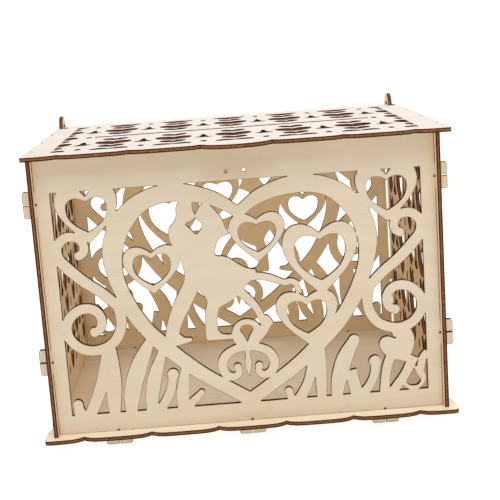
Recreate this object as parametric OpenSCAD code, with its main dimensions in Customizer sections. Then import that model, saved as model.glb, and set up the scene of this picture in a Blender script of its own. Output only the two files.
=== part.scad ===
// Wedding card box: six boards of 3 mm plywood, cut through with an openwork pattern.
// Millimetres, +Z up, front towards -Y. The origin is under the middle of the closed box's
// outline, on the plane of the tab ends that it stands on. Boards are drawn about the base's
// centre and heights are above its underside; place() moves them to the origin.

/* [Boards] */
// thickness of every board
board_t = 3; // [2.5:0.5:4]
// width of the base board, the widest board
base_w = 300; // [298:1:304]
// depth of the base board
base_d = 241; // [240:1:250]
// how far the scallops of an edge swell out from its cusps
scallop = 4.8; // [2:0.1:4.8]

/* [Walls] */
// distance between the outer faces of the two side walls
walls_w = 287.3; // [286:0.1:288]
// depth of the side walls
side_d = 228; // [226:1:230]
// top edge of the walls above the underside of the base
wall_top = 204.7; // [203:0.1:204.7]
// distance from the front edge of a side wall to the front wall's face
recess = 5.5; // [5:0.5:8]
// how far the wall tabs drop below the base, which stands on them
foot = 7; // [5:0.5:9]
// how far the side tabs stick out of the side walls
tab_out = 5.5; // [4:0.5:6]

/* [Lid] */
// underside of the lid above the underside of the base
lid_z = 205; // [205:0.5:206]
// width of the lid over its scallops
lid_w = 294.6; // [292:0.1:295]
// how far the middle scallop of the front reaches beyond the others, as a lift tab
lift_tab = 8; // [0:0.5:9]
// how far the lid has slid to the right in its end play
lid_shift = 2; // [0:0.1:2]
// width of the card slot
slot_w = 6; // [5:0.5:8]
// length of the card slot
slot_l = 212; // [180:1:214]
// radius of the hinge ears
ear_r = 11.1; // [10:0.1:12]

/* [Hidden] */
wood = [0.90, 0.82, 0.70];
// gap round a tab in its slot
gap = 0.1;
// steps in each curved stretch of an outline
steps = 5;
// the walls' faces
face_y = side_d / 2 - recess;
inner_x = walls_w / 2 - board_t;
// snap tabs: height, barbs, slit, and how far the slit runs into the wall
tab_h = 17.8;
barb = 0.6;
slit = 0.9;
slit_in = 0.7;
// heights of the side tabs and places of the foot tabs
side_tabs = [58.2, 172.6];
foot_tabs = [-97.6, 0, 97.6];
side_feet = [-61.2, 61.2];
// window of the front and back walls
win_x = 129.8;
win_lo = 16.8;
win_hi = 180;
// hinge axis, on the middle of the lid's thickness
hinge_y = 97.5;
hinge_z = lid_z + board_t / 2;
// hinge pins are strips of the lid that turn in round holes
pin_w = 9;
pin_clear = 0.08;
pin_tip = 145.2;
hole_r = sqrt(pow(pin_w / 2, 2) + pow(board_t / 2, 2)) + pin_clear;
// the lid's front edge and the front edge of its cut-outs for the ears
lid_front = -128;
notch_y = 84.7;
// the box is moved back by half of what its lid overhangs the base, so that it is centred
y0 = (lift_tab - lid_front - base_d / 2) / 2;
// the lid narrows to fit between the ears behind that edge
neck_x = inner_x - 0.3 - lid_shift;
// openwork lattice of the lid and the side walls, and how far it sits to the rear in those
col = 44.2;
row = 46.5;
side_shift = 3.7;

// ---------- curves ----------

// points of a cubic Bezier curve from a to d, without the last one
function bez(a, b, c, d, n) =
    [for (i = [0:n - 1]) let (t = i / n, s = 1 - t)
        s * s * s * a + 3 * s * s * t * b + 3 * s * t * t * c + t * t * t * d];

// one point of the smooth curve between b and c, with neighbours a and d
function catmull(a, b, c, d, t) =
    0.5 * (2 * b + (c - a) * t + (2 * a - 5 * b + 4 * c - d) * t * t
        + (3 * b - a - 3 * c + d) * t * t * t);

// open smooth curve through the points p
function spline(p, n) =
    let (m = len(p) - 1)
    concat([for (i = [0:m - 1], j = [0:n - 1])
        catmull(p[max(i - 1, 0)], p[i], p[i + 1], p[min(i + 2, m)], j / n)], [p[m]]);

function flat(p) = [p[0], p[1]];
function corner(p) = len(p) > 2;

// closed curve through the points p; a point with a third entry is a sharp corner
function outline(p, n) =
    let (m = len(p))
    [for (i = [0:m - 1], j = [0:n - 1])
        let (
            a = flat(p[(i + m - 1) % m]),
            b = flat(p[i]),
            c = flat(p[(i + 1) % m]),
            d = flat(p[(i + 2) % m]),
            u = corner(p[i]) ? c - b : (c - a) / 2,
            v = corner(p[(i + 1) % m]) ? c - b : (d - b) / 2,
            t = j / n
        )
        (2 * t * t * t - 3 * t * t + 1) * b + (t * t * t - 2 * t * t + t) * u
            + (3 * t * t - 2 * t * t * t) * c + (t * t * t - t * t) * v];

// ---------- shapes in the plane ----------

// twice the signed area of an outline; every outline is drawn anticlockwise
function turn(p) = [for (i = [0:len(p) - 1]) cross(flat(p[i]), flat(p[(i + 1) % len(p)]))]
    * [for (i = [0:len(p) - 1]) 1];
function anticlockwise(p) = turn(p) > 0 ? p : [for (i = [len(p) - 1:-1:0]) p[i]];

// 1 draws a shape as given, -1 draws its mirror image across x = 0
$side = 1;

module both_sides() {
    for ($side = [1, -1]) children();
}

module shape(p) {
    polygon(anticlockwise([for (q = p) [$side * q[0], q[1]]]));
}

module knob(x, y, r) {
    translate([$side * x, y]) circle(r, $fn = 32);
}

module blob(p, n = 3) {
    shape(outline(p, n));
}

// a band along the points p, each [x, y, half width]
module ribbon(p, n = steps) {
    q = spline(p, n);
    m = len(q) - 1;
    side = [for (i = [0:m])
        let (
            d = flat(q[min(i + 1, m)]) - flat(q[max(i - 1, 0)]),
            k = q[i][2] / norm(d)
        )
        [-d[1] * k, d[0] * k]];
    shape(concat(
        [for (i = [0:m]) flat(q[i]) + side[i]],
        [for (i = [m:-1:0]) flat(q[i]) - side[i]]));
}

// the same with a round knob of radius r at the last point
module scroll(p, r, n = steps) {
    ribbon(p, n);
    e = p[len(p) - 1];
    knob(e[0], e[1], r);
}

// right half of a heart whose lobes' tops are at y = 0, w wide and h tall: notch is the
// cleft's depth as a share of h, and belly from 0 to 1 rounds out the lower sides
function heart_half(w, h, notch, belly, n) =
    concat(
        bez([0, -notch * h], [0.08 * w, -0.4 * notch * h], [0.17 * w, 0], [0.27 * w, 0], n),
        bez([0.27 * w, 0], [0.40 * w, 0], [0.5 * w, -0.11 * h], [0.5 * w, -0.28 * h], n),
        bez([0.5 * w, -0.28 * h], [0.5 * w, -(0.53 + 0.09 * belly) * h],
            [(0.20 + 0.13 * belly) * w, -0.8 * h], [0, -h], n + 1));

module heart(x, y, w, h, notch = 0.13, belly = 0.5, n = steps) {
    r = heart_half(w, h, notch, belly, n);
    m = len(r) - 1;
    p = concat(r, [[0, -h]], [for (i = [m:-1:1]) [-r[i][0], r[i][1]]]);
    shape([for (q = p) q + [x, y]]);
}

// heart frame: inner and outer hearts, each [width, top, tip, notch], centred on x
module heart_frame(x, inner, outer) {
    difference() {
        heart(x, outer[1], outer[0], outer[1] - outer[2], outer[3], 0.1);
        heart(x, inner[1], inner[0], inner[1] - inner[2], inner[3], 1);
    }
}

// drop with its point up: w wide, h tall, standing on y = 0
module drop(w, h) {
    blob([[0, h, 1], [-0.22 * w, 0.62 * h], [-0.5 * w, 0.26 * h], [-0.3 * w, 0.04 * h],
        [0, 0], [0.3 * w, 0.04 * h], [0.5 * w, 0.26 * h], [0.22 * w, 0.62 * h]], 3);
}

// spade with its point up and two thin wings at its foot: w wide, h tall, from y = 0
module spade(w, h) {
    blob([[0, h, 1], [-0.13 * w, 0.66 * h], [-0.18 * w, 0.36 * h], [-0.5 * w, 0.13 * h, 1],
        [-0.24 * w, 0.03 * h], [0, 0], [0.24 * w, 0.03 * h], [0.5 * w, 0.13 * h, 1],
        [0.18 * w, 0.36 * h], [0.13 * w, 0.66 * h]], 3);
}

// small oval, w wide and h tall
module seed(w, h) {
    shape([for (i = [0:15]) [w / 2 * cos(i * 22.5), h / 2 * sin(i * 22.5)]]);
}

// ---------- art of the front and back walls ----------

module big_heart() {
    out = [[0, 162, 1], [10, 170], [20, 175.2], [34, 179.5], [46, 180.8], [58, 179.3], [68, 176],
        [77, 171], [85, 163.6], [91.6, 154.5], [96, 144], [97.6, 131], [95.4, 117], [90, 101],
        [84.3, 87.5], [76, 75], [65, 61.7], [42.2, 41], [25, 28.9], [0, 12.3, 1]];
    in = [[0, 151.5, 1], [7.2, 157.2], [15, 161.6], [23, 164.7], [34, 167], [46, 167.8],
        [56, 166.6], [64, 163.2], [70.6, 157.6], [76.4, 150], [80.8, 141.6], [83.4, 132], [84, 122],
        [82.3, 112], [78.5, 101.5], [73, 90.5], [66.5, 80.2], [58, 70.7], [49, 61.4], [28, 43.2],
        [0, 24.7, 1]];
    both_sides() difference() {
        blob(concat(out, [[-1, 12.3, 1], [-1, 162, 1]]), 3);
        blob(concat(in, [[-2, 24.7, 1], [-2, 151.5, 1]]), 3);
    }
}

// dancing couple: one dark mass whose heads meet at the brow
module couple() {
    body = [[-39, 170, 1], [-43.2, 164], [-43.6, 158], [-45.8, 152.8], [-49.3, 149], [-50, 143],
        [-48.8, 138.5], [-45.5, 131], [-42.6, 125], [-41.2, 118], [-41.4, 111.5], [-44.5, 105.2],
        [-49.3, 96.5], [-53.6, 87], [-56.4, 79], [-58.5, 68, 1], [-54, 62.5, 1], [-41, 65.1],
        [-38.4, 66.9], [-40.2, 68.7], [-44.2, 69], [-47.7, 72.2, 1], [-46.2, 77], [-42.8, 84],
        [-38.8, 90.6], [-35.2, 97], [-32, 103.2, 1], [-28.4, 99], [-26.4, 94], [-28, 88],
        [-28.9, 80], [-29.2, 67, 1], [-28, 65.2, 1], [-8, 65.2, 1], [-9, 68.8, 1], [-15.5, 69.2], [-18.4, 70.8],
        [-20, 73.4, 1], [-19.9, 80.5], [-18, 89, 1], [-12.8, 91.4], [-8, 94], [-5.2, 96.2, 1],
        [0.7, 100.8, 1], [1.6, 103], [6.5, 107.6, 1], [10.6, 114.8, 1], [3.4, 116.9],
        [-1.2, 119.4], [-5.1, 122.4], [-8.9, 125.1], [-12.8, 126.5], [-16.6, 126.9],
        [-18.3, 128.8], [-17.3, 133.2], [-15.6, 137.6], [-12, 140.4], [-7, 142, 1],
        [-8, 144.7, 1], [-9.7, 147.6], [-10.7, 151.8], [-12.3, 155], [-14.6, 158],
        [-17.5, 161.6], [-20.6, 164.3], [-24.2, 165.2], [-27, 164.4], [-30, 168, 1], [-31, 170, 1]];
    difference() {
        blob(body, 3);
        // between the brows
        blob([[-30.8, 169, 1], [-31.6, 165], [-31.4, 161], [-30.2, 157.6, 1], [-28.6, 160.4],
            [-26.6, 163.4], [-24.4, 165.6], [-24, 169, 1]], 3);
        // below the chins
        blob([[-30.4, 155.6, 1], [-32.4, 153.6], [-36.4, 152.4], [-37.2, 150.8], [-33.6, 147.4],
            [-30.4, 143.6], [-27.2, 146.6], [-25.8, 150.4], [-28.2, 152.6]], 3);
    }
    // the nearer leg steps down on to the loop, the other kicks back
    ribbon([[-3, 100, 3.4], [3, 94, 3.1], [7.8, 87.8, 2.9], [11.3, 81, 2.7], [13.6, 73, 2.6]]);
    blob([[10, 72, 1], [13.6, 80.8, 1], [16, 80.9], [18.3, 78.3], [20.4, 75, 1], [17.2, 71.8],
        [15.8, 68.6], [12.4, 64.4], [8, 60.8, 1]], 3);
    ribbon([[2, 110.2, 4], [10, 110.2, 2.8], [18.5, 108.5, 2.7], [26, 105.3, 2.4], [31.5, 103, 2.2]]);
    ribbon([[29.6, 103.3, 2.3], [34.3, 104.6, 2.4], [40, 102.4, 1.6]], 3);
    ribbon([[35.6, 104, 1.8], [38.6, 100.4, 1.9], [39.6, 95, 2.4]], 3);
}

module small_hearts() {
    heart_frame(-63.3, [26.6, 131.4, 109, 0.15], [41, 137.6, 102.6, 0.145]);
    heart_frame(12.5, [26.6, 149.2, 127.5, 0.10], [40, 155.8, 120.4, 0.135]);
    heart_frame(56.4, [36.4, 136.6, 103.6, 0.11], [54, 145.4, 92.5, 0.135]);
    heart_frame(44.6, [28.6, 89.4, 65.1, 0.15], [44.8, 96.6, 57, 0.125]);
}

// heart, hooked scroll and spiral down the left edge of the window
module edge_scrolls() {
    heart_frame(-105.6, [28.6, 175, 150.6, 0.12], [44.4, 184, 142.4, 0.19]);
    ribbon([[-84.4, 165, 0.4], [-88.4, 159, 1.6], [-93.4, 152.2, 0.5]], 3);
    scroll([[-90, 96, 3.8], [-100, 106, 3.9], [-111, 114.5, 4], [-121, 124, 4.2],
        [-128.2, 133, 3.9], [-128.6, 141.5, 3.6], [-122.4, 147.6, 3.5], [-114.4, 147.2, 3.3],
        [-110, 142, 3.3], [-110.4, 136.6, 3.3], [-113.8, 134.2, 3]], 3.4);
    scroll([[-91.5, 99, 3.2], [-88.4, 88, 3.8], [-89.2, 79, 3.8], [-94, 70.5, 3.8],
        [-102, 65.6, 3.7], [-111, 64.3, 3.7], [-120, 67.5, 3.7], [-126.3, 75, 3.7],
        [-127.3, 84, 3.7], [-123, 91.3, 3.7], [-115.5, 95.4, 3.6], [-108, 94.8, 3.6],
        [-103.2, 90, 3.5], [-102.3, 84, 3.4], [-104.4, 79.6, 3.3], [-108, 78, 3]], 3.7);
}

// loop, paired curls and a hanging leaf in the tip of the big heart
module fleuron() {
    difference() {
        knob(0.6, 68.2, 11.2);
        translate([0.4, 74.8]) rotate(180) drop(9.4, 12.4);
    }
    both_sides()
        scroll([[1, 59, 3.2], [-8, 57.6, 3.1], [-15.8, 53.2, 3.4], [-18.8, 46, 3.6], [-16.4, 39, 3.4],
            [-10.8, 36.7, 3], [-7.1, 39.8, 2.7], [-7.8, 43.8, 2.4]], 3);
    ribbon([[0, 62, 4], [0, 54, 1.7], [0, 46, 2.7], [0, 36.5, 0.4]], 3);
}

// leaves and curls that stand on the bottom rail
module foliage_left() {
    knob(-125, 24.8, 3.8);
    ribbon([[-125.3, 25, 3.2], [-124, 18.5, 4.4], [-122, 13, 5]], 3);
    ribbon([[-119, 13, 4], [-114, 22, 4.4], [-108.4, 34, 4.6], [-104, 47, 4.6], [-100.4, 61, 4.4]]);
    ribbon([[-99, 13, 3.6], [-98.8, 26, 5.2], [-97.8, 40, 5.6], [-97.2, 53, 4.6], [-97.6, 65, 3.6]]);
    knob(-101.2, 62.4, 2.4);
    ribbon([[-87, 13, 3.6], [-86, 26, 5.6], [-82.6, 40, 6.4], [-77, 54, 5.8], [-69.4, 68.4, 3.4]]);
    ribbon([[-72.5, 13, 3.6], [-71, 27, 5], [-67.8, 42, 5.2], [-61, 60, 3]]);
    scroll([[-69, 14, 3.6], [-62.5, 21, 3.6], [-57.6, 30, 3.5], [-55.2, 39.5, 3.3],
        [-54.8, 42.2, 3.3]], 4.3);
    ribbon([[-49.2, 13, 3.6], [-49, 27, 4.8], [-45.6, 46, 3.2]]);
    scroll([[-47, 16, 3.2], [-41, 21.5, 3], [-35.2, 27, 2.2]], 2.4, 3);
}

module foliage_right() {
    knob(28, 22.8, 3.1);
    ribbon([[28, 22.6, 2.8], [29.6, 17.4, 3], [31, 13, 3.4]], 3);
    ribbon([[33, 13, 4.4], [38.6, 21, 4], [43.4, 31, 3.8], [48.6, 48, 4.6]]);
    ribbon([[51.6, 13, 3.2], [52, 28, 4.2], [52.2, 40, 4.2], [52.6, 55, 3.6]]);
    scroll([[62.6, 13, 3.6], [64.8, 28, 5.6], [69.8, 44, 5.8], [77.4, 57.4, 4]], 4.2);
    ribbon([[77.6, 13, 4], [76.4, 22, 4.6], [73.6, 35, 4.4]], 3);
    scroll([[79, 14, 3.6], [86, 21, 3.4], [90.6, 29.5, 3.3], [92, 38, 3.4], [91.8, 40.2, 3.4]], 4.5);
    ribbon([[97.6, 13, 3.8], [98.8, 26, 3.6], [101, 37, 3.6], [106, 48, 4]]);
    translate([110, 50.2]) rotate(24) heart(0, 11.6, 26.4, 25, 0.2);
    ribbon([[110, 57, 4.6], [111, 66, 7]], 3);
    ribbon([[101, 13, 3.6], [107.4, 20.8, 3.6], [113.8, 29.4, 3.6], [120.4, 42, 3.8]]);
    difference() {
        knob(119.4, 25.4, 9.2);
        translate([119.4, 19.8]) drop(10.4, 14.4);
    }
    ribbon([[124.6, 31, 3], [126.6, 40, 3], [130.5, 44.5, 2.8]], 3);
}

module wall_art() {
    big_heart();
    couple();
    small_hearts();
    both_sides() edge_scrolls();
    fleuron();
    foliage_left();
    foliage_right();
}

// ---------- lattice of the lid and the side walls ----------

module wide_leaf() {
    heart(0, 10.2, 27, 25.4, 0.2, 1, 4);
}

module narrow_leaf() {
    heart(0, 6.8, 19, 16, 0.36, 1, 4);
}

// holes of a lattice that is clipped to half width hx and runs from y0 to y1;
// wide hearts sit on every row and narrow ones half a row lower
module lattice(hx, y0, y1, cols, rows, skip) {
    intersection() {
        translate([-hx, y0]) square([2 * hx, y1 - y0]);
        union() {
            for (i = [-cols:cols], j = [-rows:rows])
                if (abs(i) > skip || j != 0)
                    translate([i * col, j * row]) wide_leaf();
            for (i = [-cols:cols], j = [-rows:rows + 1])
                translate([i * col, (j - 0.5) * row]) narrow_leaf();
        }
    }
}

// spades and seeds between the columns, at the rows listed
module between(cols, spade_rows, seed_rows) {
    for (i = [-cols + 1:cols]) {
        for (j = spade_rows)
            translate([(i - 0.5) * col, j * row - 13]) spade(14.6, 25);
        for (j = seed_rows)
            translate([(i - 0.5) * col, j * row - 4.5]) seed(4.5, 9);
    }
}

// ---------- outlines of the boards ----------

// how far a scalloped edge lies behind its crests, t scallops along it from a crest;
// the scallops are flat in the middle and round off into a narrow notch
function dip(t) = scallop * pow(abs(2 * (t - round(t))), 5);

// places from crest a to crest b that draw the scallops between, closest at the notches
function crests(a, b) = concat(
    [for (k = [a:b - 1], s = [0, 0.2, 0.33, 0.39, 0.44, 0.475, 0.5, 0.525, 0.56, 0.61, 0.67, 0.8])
        k + s], [b]);

// the rounded front right corner of a board, r in radius, with its point at x, y
function rounded(x, y, r) = [for (a = [0:22.5:90]) [x - r + r * sin(a), y + r - r * cos(a)]];

// anticlockwise halves of an outline from its right half, listed from front to back
function with_left(p) = concat(p, [for (i = [len(p) - 1:-1:0]) [-p[i][0], p[i][1]]]);

module base_outline() {
    w = base_w / 2;
    d = base_d / 2;
    r = 3.6;
    front = concat([for (t = crests(0, 3)) if (t < 2.9) [t * (w - r) / 3, -d + dip(t)]],
        rounded(w, -d, r));
    side = [for (t = crests(-2, 2)) if (abs(t) < 1.9) [w - dip(t), t * d / 2]];
    rear = [for (i = [len(front) - 1:-1:0]) [front[i][0], -front[i][1]]];
    shape(with_left(concat(front, side, rear)));
}

// ---------- the boards ----------

module place(x = 0, z = 0) {
    translate([x, y0, foot + z]) children();
}

module base_panel() {
    color(wood)
    place()
    linear_extrude(board_t)
    difference() {
        base_outline();
        for (x = foot_tabs, s = [-1, 1])
            translate([x, s * (face_y - board_t / 2)])
            square([tab_h + 2 * gap, board_t + 2 * gap], center = true);
        for (y = side_feet, s = [-1, 1])
            translate([s * (inner_x + board_t / 2), y])
            square([board_t + 2 * gap, tab_h + 2 * gap], center = true);
    }
}

// split tab that points to +x from x = 0, l long, with barbs past the board it goes through
module snap_tab(l) {
    b = barb;
    h = tab_h / 2;
    shape([[-3, -h], [board_t + 0.2, -h], [board_t + 0.2, -h - b], [l - 1, -h - b], [l, -h + 1],
        [l, h - 1], [l - 1, h + b], [board_t + 0.2, h + b], [board_t + 0.2, h], [-3, h]]);
}

// the slit that lets it spring, with a round end
module snap_slit(l) {
    translate([-slit_in, -slit / 2]) square([l + slit_in + 1, slit]);
    translate([-slit_in, 0]) circle(0.8, $fn = 24);
}

// front and back wall in its own plane; short is the extra gap at its left end
module wall_board(short) {
    difference() {
        union() {
            difference() {
                translate([-inner_x + short, board_t])
                    square([2 * inner_x - short - 0.2, wall_top - board_t]);
                translate([-win_x, win_lo]) square([2 * win_x, win_hi - win_lo]);
            }
            intersection() {
                translate([-win_x - 1, win_lo - 1]) square([2 * win_x + 2, win_hi - win_lo + 2]);
                wall_art();
            }
            for (z = side_tabs) {
                translate([inner_x, z]) snap_tab(board_t + tab_out);
                translate([-inner_x, z]) rotate(180) snap_tab(board_t + tab_out);
            }
            for (x = foot_tabs)
                translate([x, board_t]) rotate(-90) snap_tab(board_t + foot);
        }
        for (z = side_tabs) {
            translate([inner_x, z]) snap_slit(board_t + tab_out);
            translate([-inner_x, z]) rotate(180) snap_slit(board_t + tab_out);
        }
        for (x = foot_tabs)
            translate([x, board_t]) rotate(-90) snap_slit(board_t + foot);
    }
}

module front_panel() {
    color(wood)
    place()
    translate([0, -face_y + board_t, 0])
    rotate([90, 0, 0])
    linear_extrude(board_t)
    difference() {
        wall_board(0.2);
        // two holes for a hasp
        for (x = [-6.35, 6.35])
            translate([x, 186.6]) circle(1.2, $fn = 24);
    }
}

module back_panel() {
    color(wood)
    place()
    rotate(180)
    translate([0, -face_y + board_t, 0])
    rotate([90, 0, 0])
    linear_extrude(board_t)
    wall_board(2.4);
}

// side wall in its own plane: x runs from front to back, y is height above the base's underside
module side_board() {
    difference() {
        union() {
            translate([-side_d / 2, board_t]) square([side_d, wall_top - board_t]);
            translate([hinge_y, hinge_z]) circle(ear_r, $fn = 96);
            for (y = side_feet)
                translate([y, board_t]) rotate(-90) snap_tab(board_t + foot);
        }
        translate([hinge_y, hinge_z]) circle(hole_r, $fn = 48);
        // slots for the front and back walls' tabs
        for (s = [-1, 1], z = side_tabs)
            translate([s * (face_y - board_t / 2), z])
            square([board_t + 2 * gap, tab_h + 2 * gap], center = true);
        intersection() {
            translate([-99, win_lo]) square([198, win_hi - win_lo]);
            translate([side_shift, (win_lo + win_hi) / 2]) {
                lattice(110, win_lo - 98, win_hi - 98, 3, 1, -1);
                between(3, [-1, 0, 1], [-1.5, -0.5, 0.5, 1.5]);
            }
        }
        for (y = side_feet)
            translate([y, board_t]) rotate(-90) snap_slit(board_t + foot);
    }
}

module side_solid() {
    rotate([90, 0, 90]) linear_extrude(board_t) side_board();
}

module left_side_panel() {
    color(wood) place(-walls_w / 2) side_solid();
}

module right_side_panel() {
    color(wood) place(inner_x) side_solid();
}

module lid_outline() {
    w = lid_w / 2;
    side_pitch = 60.8;
    rear = hinge_y + pin_w / 2;
    front = [for (t = crests(0, 3)) if (t < 2.9)
        [t * w / 3, lid_front + dip(t) - lift_tab * max(0, 1 - pow(2 * t, 2))]];
    side = [for (t = crests(0, 4)) let (y = lid_front + 6 + t * side_pitch)
        if (t > 0 && y < notch_y - 1) [w - 0.75 * dip(t), y]];
    shape(with_left(concat(front, rounded(w, lid_front, 2.4), side,
        [[side[len(side) - 1][0], notch_y], [neck_x, notch_y], [neck_x, rear - pin_w],
            [pin_tip, rear - pin_w], [pin_tip, rear]])));
}

module lid_board() {
    slot_y = -14.7;
    difference() {
        lid_outline();
        translate([-slot_l / 2, slot_y - slot_w / 2]) square([slot_l, slot_w]);
        translate([0, slot_y]) {
            lattice(128.5, -92.3, 95, 3, 2, 2);
            between(3, [-1, 1], [-1.72, 1.9]);
            for (s = [-1, 1])
                translate([s * 2.5 * col, -1]) seed(4.5, 9);
        }
    }
}

module lid_panel() {
    color(wood)
    place(lid_shift, lid_z)
    linear_extrude(board_t)
    lid_board();
}

base_panel();
front_panel();
back_panel();
left_side_panel();
right_side_panel();
lid_panel();
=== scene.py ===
"""A wedding card box of laser-cut plywood: the camera, the studio and the boards' plywood
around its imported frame."""

import math

import bpy
from mathutils import Matrix, Vector

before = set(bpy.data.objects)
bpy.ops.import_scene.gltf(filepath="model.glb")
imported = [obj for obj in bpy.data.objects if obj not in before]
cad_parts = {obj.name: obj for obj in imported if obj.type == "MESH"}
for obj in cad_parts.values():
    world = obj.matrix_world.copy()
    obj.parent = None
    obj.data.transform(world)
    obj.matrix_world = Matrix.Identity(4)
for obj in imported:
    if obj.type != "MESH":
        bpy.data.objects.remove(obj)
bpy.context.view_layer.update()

MM = 0.001
BOARD = 3 * MM

# ---------------------------------------------------------------- camera

EYE = Vector((-0.0161, -0.89, 0.2967))
CAMERA_AZIMUTH = math.radians(1.66)
CAMERA_ELEVATION = math.radians(11.48)
CAMERA_ROLL = math.radians(3.98)
LENS = 81.92
SENSOR = 36.0
NEAR = 0.05
FAR = 40


def make_camera():
    data = bpy.data.cameras.new("camera")
    data.lens = LENS
    data.sensor_width = SENSOR
    data.clip_start = NEAR
    data.clip_end = FAR
    data.dof.use_dof = False
    camera = bpy.data.objects.new("camera", data)
    bpy.context.scene.collection.objects.link(camera)
    turn = Matrix.Rotation(-CAMERA_AZIMUTH, 4, "Z")
    tilt = Matrix.Rotation(math.pi / 2 - CAMERA_ELEVATION, 4, "X")
    roll = Matrix.Rotation(-CAMERA_ROLL, 4, "Z")
    camera.matrix_world = Matrix.Translation(EYE) @ turn @ tilt @ roll
    bpy.context.scene.camera = camera


make_camera()

# ---------------------------------------------------------------- node helpers


class Graph:
    """Short calls for building one material's nodes."""

    def __init__(self, material):
        material.use_nodes = True
        self.tree = material.node_tree
        self.tree.nodes.clear()

    def node(self, kind, inputs=None, **settings):
        made = self.tree.nodes.new("ShaderNode" + kind)
        for name, value in settings.items():
            setattr(made, name, value)
        for name, value in (inputs or {}).items():
            self.feed(made.inputs[name], value)
        return made

    def feed(self, socket, value):
        if isinstance(value, bpy.types.NodeSocket):
            self.tree.links.new(value, socket)
        else:
            socket.default_value = value

    def math(self, operation, a, b=0.0, clamp=False):
        made = self.node("Math", operation=operation, use_clamp=clamp)
        self.feed(made.inputs[0], a)
        self.feed(made.inputs[1], b)
        return made.outputs[0]

    def ramp(self, value, low, high, to_low=0.0, to_high=1.0):
        """value from low..high to to_low..to_high, smoothly and clamped."""
        made = self.node(
            "MapRange",
            {
                "Value": value,
                "From Min": low,
                "From Max": high,
                "To Min": to_low,
                "To Max": to_high,
            },
            interpolation_type="SMOOTHSTEP",
        )
        return made.outputs[0]

    def mix(self, factor, a, b, blend="MIX"):
        made = self.node("Mix", data_type="RGBA", blend_type=blend)
        self.feed(made.inputs[0], factor)
        self.feed(made.inputs[6], a)
        self.feed(made.inputs[7], b)
        return made.outputs[2]

    def drawn_out(self, place, axis, stretch):
        """The place with one axis scaled by stretch, for patterns that run along it."""
        scale = [1.0, 1.0, 1.0]
        scale[AXES[axis]] = stretch
        made = self.node("Mapping", {"Vector": place, "Scale": scale})
        return made.outputs[0]

    def noise(self, place, scale, detail=2.0, roughness=0.5, distortion=0.0):
        made = self.node(
            "TexNoise",
            {
                "Vector": place,
                "Scale": scale,
                "Detail": detail,
                "Roughness": roughness,
                "Distortion": distortion,
            },
        )
        return made.outputs["Fac"]


def srgb(red, green, blue):
    """A display colour, 0 to 255, as a linear node colour."""

    def linear(level):
        level /= 255
        return level / 12.92 if level <= 0.04045 else ((level + 0.055) / 1.055) ** 2.4

    return (linear(red), linear(green), linear(blue), 1.0)


# ---------------------------------------------------------------- plywood

AXES = {"X": 0, "Y": 1, "Z": 2}

# how many noise cells there are to a metre, and how far a pattern is drawn out:
# the smaller the stretch, the longer its streaks
LINE_SCALE, LINE_STRETCH = 1500, 0.035
BAND_SCALE, BAND_STRETCH = 90, 0.12
FLECK_SCALE, FLECK_STRETCH = 900, 0.09
RIDGE_SCALE, RIDGE_STRETCH = 1900, 0.06
CLOUD_SCALE = 14
PATCH_SCALE = 160
BURN_SCALE = 240

# what each pattern, at full strength, multiplies the veneer's colour by
BAND_TINT = (1.05, 1.05, 1.06, 1.0)
CLOUD_TINT = (0.95, 0.91, 0.84, 1.0)
LINE_TINT = (0.84, 0.79, 0.70, 1.0)
FLECK_TINT = (0.82, 0.76, 0.66, 1.0)

CHARRED = srgb(58, 29, 16)
SINGED = srgb(168, 116, 76)
SCORCH_REACH = 0.9 * MM
RELIEF = 0.06 * MM
RELIEF_STRENGTH = 0.35
FACE_SHINE = 0.08
EDGE_SHINE = 0.06
EDGE_ROUGHER = 0.2
EDGE_LEAN = 0.7  # a face is a cut wall if its normal has less than this along the thickness


def veneer(g, place, grain, face, lines):
    """The face colour with the veneer's bands, clouds, long fine lines and short flecks."""
    bands = g.noise(g.drawn_out(place, grain, BAND_STRETCH), BAND_SCALE, 3, 0.5, 0.6)
    cloud = g.noise(place, CLOUD_SCALE, 3, 0.55)
    fleck = g.noise(g.drawn_out(place, grain, FLECK_STRETCH), FLECK_SCALE, 1, 0.4)
    tone = g.mix(g.ramp(bands, 0.3, 0.7), face, BAND_TINT, "MULTIPLY")
    tone = g.mix(g.ramp(cloud, 0.45, 0.75, 0.0, 0.6), tone, CLOUD_TINT, "MULTIPLY")
    tone = g.mix(g.ramp(lines, 0.52, 0.8, 0.0, 0.55), tone, LINE_TINT, "MULTIPLY")
    return g.mix(g.ramp(fleck, 0.72, 0.8, 0.0, 0.4), tone, FLECK_TINT, "MULTIPLY")


def burnt_beside_cuts(g, place, tone, rim):
    """The tone browned in a narrow band beside each cut and blackened right at it."""
    inside = g.node(
        "AmbientOcclusion", {"Distance": SCORCH_REACH}, samples=8, inside=True, only_local=True
    ).outputs["AO"]
    patch = g.noise(place, PATCH_SCALE, 2)
    brown = g.math(
        "MULTIPLY", g.ramp(inside, 0.95, 0.5, 0.0, 0.5), g.ramp(patch, 0.3, 0.7, 0.4, 1.0)
    )
    black = g.math(
        "MULTIPLY", g.ramp(inside, 0.8, 0.56, 0.0, rim), g.ramp(patch, 0.25, 0.6, 0.6, 1.0)
    )
    return g.mix(black, g.mix(brown, tone, SINGED), CHARRED)


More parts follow.
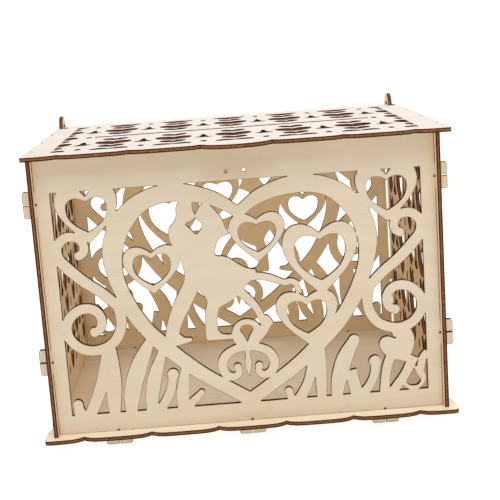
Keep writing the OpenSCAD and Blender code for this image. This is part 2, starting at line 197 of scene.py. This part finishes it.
def cut_wall(g, place, level, ridges, core):
    """A cut wall's colour: burnt outer veneers, a lighter core and the beam's fine ridges.
    level goes from 0 at one face of the board to 1 at the other."""
    burn = g.noise(place, BURN_SCALE, 3, 0.6)
    off_middle = g.math("ABSOLUTE", g.math("SUBTRACT", g.math("MULTIPLY", level, 2.0), 1.0))
    uneven = g.math("MULTIPLY", g.math("SUBTRACT", burn, 0.5), 0.6)
    depth_in = g.math("ADD", g.math("SUBTRACT", 1.0, off_middle), uneven)
    wall = g.mix(g.ramp(depth_in, 0.35, 0.85), CHARRED, core)
    wall = g.mix(g.ramp(ridges, 0.42, 0.75, 0.0, 0.6), wall, CHARRED)
    return g.mix(g.ramp(burn, 0.6, 0.85, 0.0, 0.4), wall, SINGED)


def plywood(name, across, grain, start, outer, inner, core, rim, seed):
    """A raw plywood board's material. across is the axis through its thickness,
    grain the axis that the veneer runs along and start the coordinate of its lower
    face. outer and inner are the colours on the faces that look along plus and minus
    that axis; on the faces inside the box and on the tops they are painted light,
    copies of the plywood's colour made warmer, lighter or paler. core is the cut
    wall's colour at mid thickness, and rim is how black the faces are right at the
    cuts, 0 to 1."""
    g = Graph(bpy.data.materials.new(name))
    where = g.node("TexCoord")
    place = g.node(
        "VectorMath", {0: where.outputs["Object"], 1: (seed, seed * 0.7, seed * 1.3)}
    ).outputs[0]
    normal = g.node("SeparateXYZ", {0: where.outputs["Normal"]}).outputs[AXES[across]]
    depth = g.node("SeparateXYZ", {0: where.outputs["Object"]}).outputs[AXES[across]]
    on_edge = g.math("LESS_THAN", g.math("ABSOLUTE", normal), EDGE_LEAN)
    level = g.math("DIVIDE", g.math("SUBTRACT", depth, start), BOARD, clamp=True)
    lines = g.noise(g.drawn_out(place, grain, LINE_STRETCH), LINE_SCALE, 4, 0.65)
    ridges = g.noise(g.drawn_out(place, across, RIDGE_STRETCH), RIDGE_SCALE, 2, 0.6)

    # painted light: each face takes outer or inner by the way it looks, so the faces inside the
    # box and the tops get their painted-light copies
    face = g.mix(g.math("GREATER_THAN", normal, 0.0), inner, outer)
    face = burnt_beside_cuts(g, place, veneer(g, place, grain, face, lines), rim)
    colour = g.mix(on_edge, face, cut_wall(g, place, level, ridges, core))
    rough = g.ramp(lines, 0.3, 0.8, 0.66, 0.8)
    rough = g.math("ADD", rough, g.math("MULTIPLY", on_edge, EDGE_ROUGHER))
    shine = g.ramp(on_edge, 0.0, 1.0, FACE_SHINE, EDGE_SHINE)
    height = g.mix(on_edge, lines, ridges)
    bump = g.node(
        "Bump", {"Strength": RELIEF_STRENGTH, "Distance": RELIEF, "Height": height}
    ).outputs[0]
    shader = g.node(
        "BsdfPrincipled",
        {"Base Color": colour, "Roughness": rough, "Specular IOR Level": shine, "Normal": bump},
    )
    g.node("OutputMaterial", {"Surface": shader.outputs[0]})
    return bpy.data.materials[name]


PALE = srgb(218, 202, 176)
# painted bounce light: a warmer, lighter copy of the plywood's colour for the wall faces inside
# the box
TAN_PAINTED_BOUNCE = srgb(241, 218, 180)
# painted light: a lighter copy of the plywood's colour for the base's top, the inner floor and
# the ledge in front
CREAM_PAINTED_TOP_LIGHT = srgb(242, 227, 202)
# painted sheen: a paler, less yellow copy of the plywood's colour for the lid's top, standing
# in for the light washing over it from above
WHITISH_PAINTED_SHEEN = srgb(215, 205, 194)
CORE_DARK = srgb(58, 31, 17)
CORE = srgb(142, 90, 58)
CORE_LIGHT = srgb(150, 98, 66)

BOARDS = {
    # node: axis through the thickness, axis of the grain, the two face colours (those inside
    # the box and on the tops painted light), core, rim
    "base_panel": ("Z", "X", CREAM_PAINTED_TOP_LIGHT, PALE, CORE, 0.25),
    "front_panel": ("Y", "X", TAN_PAINTED_BOUNCE, PALE, CORE_DARK, 1.0),
    "back_panel": ("Y", "X", PALE, TAN_PAINTED_BOUNCE, CORE_DARK, 0.6),
    "left_side_panel": ("X", "Y", TAN_PAINTED_BOUNCE, PALE, CORE, 0.25),
    "right_side_panel": ("X", "Y", PALE, TAN_PAINTED_BOUNCE, CORE, 0.25),
    "lid_panel": ("Z", "X", WHITISH_PAINTED_SHEEN, PALE, CORE_LIGHT, 0.15),
}

SEED_STEP = 0.37  # shifts each board's patterns, so that no two boards are alike


def lower_face(node, across):
    """The coordinate of a board's lower face: its flat faces hold most of its vertices."""
    axis = AXES[across]
    counts = {}
    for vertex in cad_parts[node].data.vertices:
        key = round(vertex.co[axis], 5)
        counts[key] = counts.get(key, 0) + 1
    return min(sorted(counts, key=counts.get)[-2:])


for index, (node, (across, grain, outer, inner, core, rim)) in enumerate(BOARDS.items()):
    start = lower_face(node, across)
    seed = SEED_STEP * (index + 1)
    made = plywood(node + "_plywood", across, grain, start, outer, inner, core, rim, seed)
    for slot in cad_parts[node].material_slots:
        slot.material = made

# ---------------------------------------------------------------- studio

FLOOR_REACH = 12.0
BACKDROP_Y = 3.0
BACKDROP_TOP = 2.5
FLOOR_GREY = 0.3
FLOOR_GLOW = 0.8
FLOOR_ROUGHNESS = 0.9
FLOOR_SHINE = 0.1
WORLD_LIGHT = 0.55
LIGHT_TARGET = Vector((0, 0, 0.1))
WHITE = (1, 1, 1, 1)

SOFTBOXES = {
    # name: place, width, height, watts
    "top_softbox": ((0.1, -0.75, 1.45), 1.6, 1.6, 16),
    "back_softbox": ((0.2, 1.5, 0.9), 1.4, 1.2, 14),
}


def make_floor():
    """A pale floor with an upright backdrop, which glow, so that they read white."""
    mesh = bpy.data.meshes.new("floor")
    corners = [
        (-FLOOR_REACH, -FLOOR_REACH, 0),
        (FLOOR_REACH, -FLOOR_REACH, 0),
        (FLOOR_REACH, BACKDROP_Y, 0),
        (-FLOOR_REACH, BACKDROP_Y, 0),
        (FLOOR_REACH, BACKDROP_Y, BACKDROP_TOP),
        (-FLOOR_REACH, BACKDROP_Y, BACKDROP_TOP),
    ]
    mesh.from_pydata(corners, [], [(0, 1, 2, 3), (3, 2, 4, 5)])
    floor = bpy.data.objects.new("floor", mesh)
    bpy.context.scene.collection.objects.link(floor)
    material = bpy.data.materials.new("floor_white")
    g = Graph(material)
    shader = g.node("BsdfPrincipled")
    shader.inputs["Base Color"].default_value = (FLOOR_GREY, FLOOR_GREY, FLOOR_GREY, 1)
    shader.inputs["Emission Color"].default_value = WHITE
    shader.inputs["Emission Strength"].default_value = FLOOR_GLOW
    shader.inputs["Roughness"].default_value = FLOOR_ROUGHNESS
    shader.inputs["Specular IOR Level"].default_value = FLOOR_SHINE
    g.node("OutputMaterial", {"Surface": shader.outputs[0]})
    mesh.materials.append(material)


def area_light(name, place, width, height, watts):
    data = bpy.data.lights.new(name, "AREA")
    data.shape = "RECTANGLE"
    data.size = width
    data.size_y = height
    data.energy = watts
    light = bpy.data.objects.new(name, data)
    light.location = place
    aim = LIGHT_TARGET - Vector(place)
    light.rotation_euler = aim.to_track_quat("-Z", "Y").to_euler()
    bpy.context.scene.collection.objects.link(light)


def make_world():
    world = bpy.data.worlds.new("studio")
    world.use_nodes = True
    background = world.node_tree.nodes["Background"]
    background.inputs["Color"].default_value = WHITE
    background.inputs["Strength"].default_value = WORLD_LIGHT
    bpy.context.scene.world = world


make_floor()
make_world()
for name, (place, width, height, watts) in SOFTBOXES.items():
    area_light(name, place, width, height, watts)

view = bpy.context.scene.view_settings
view.view_transform = "Standard"
view.look = "None"
view.exposure = 0.0
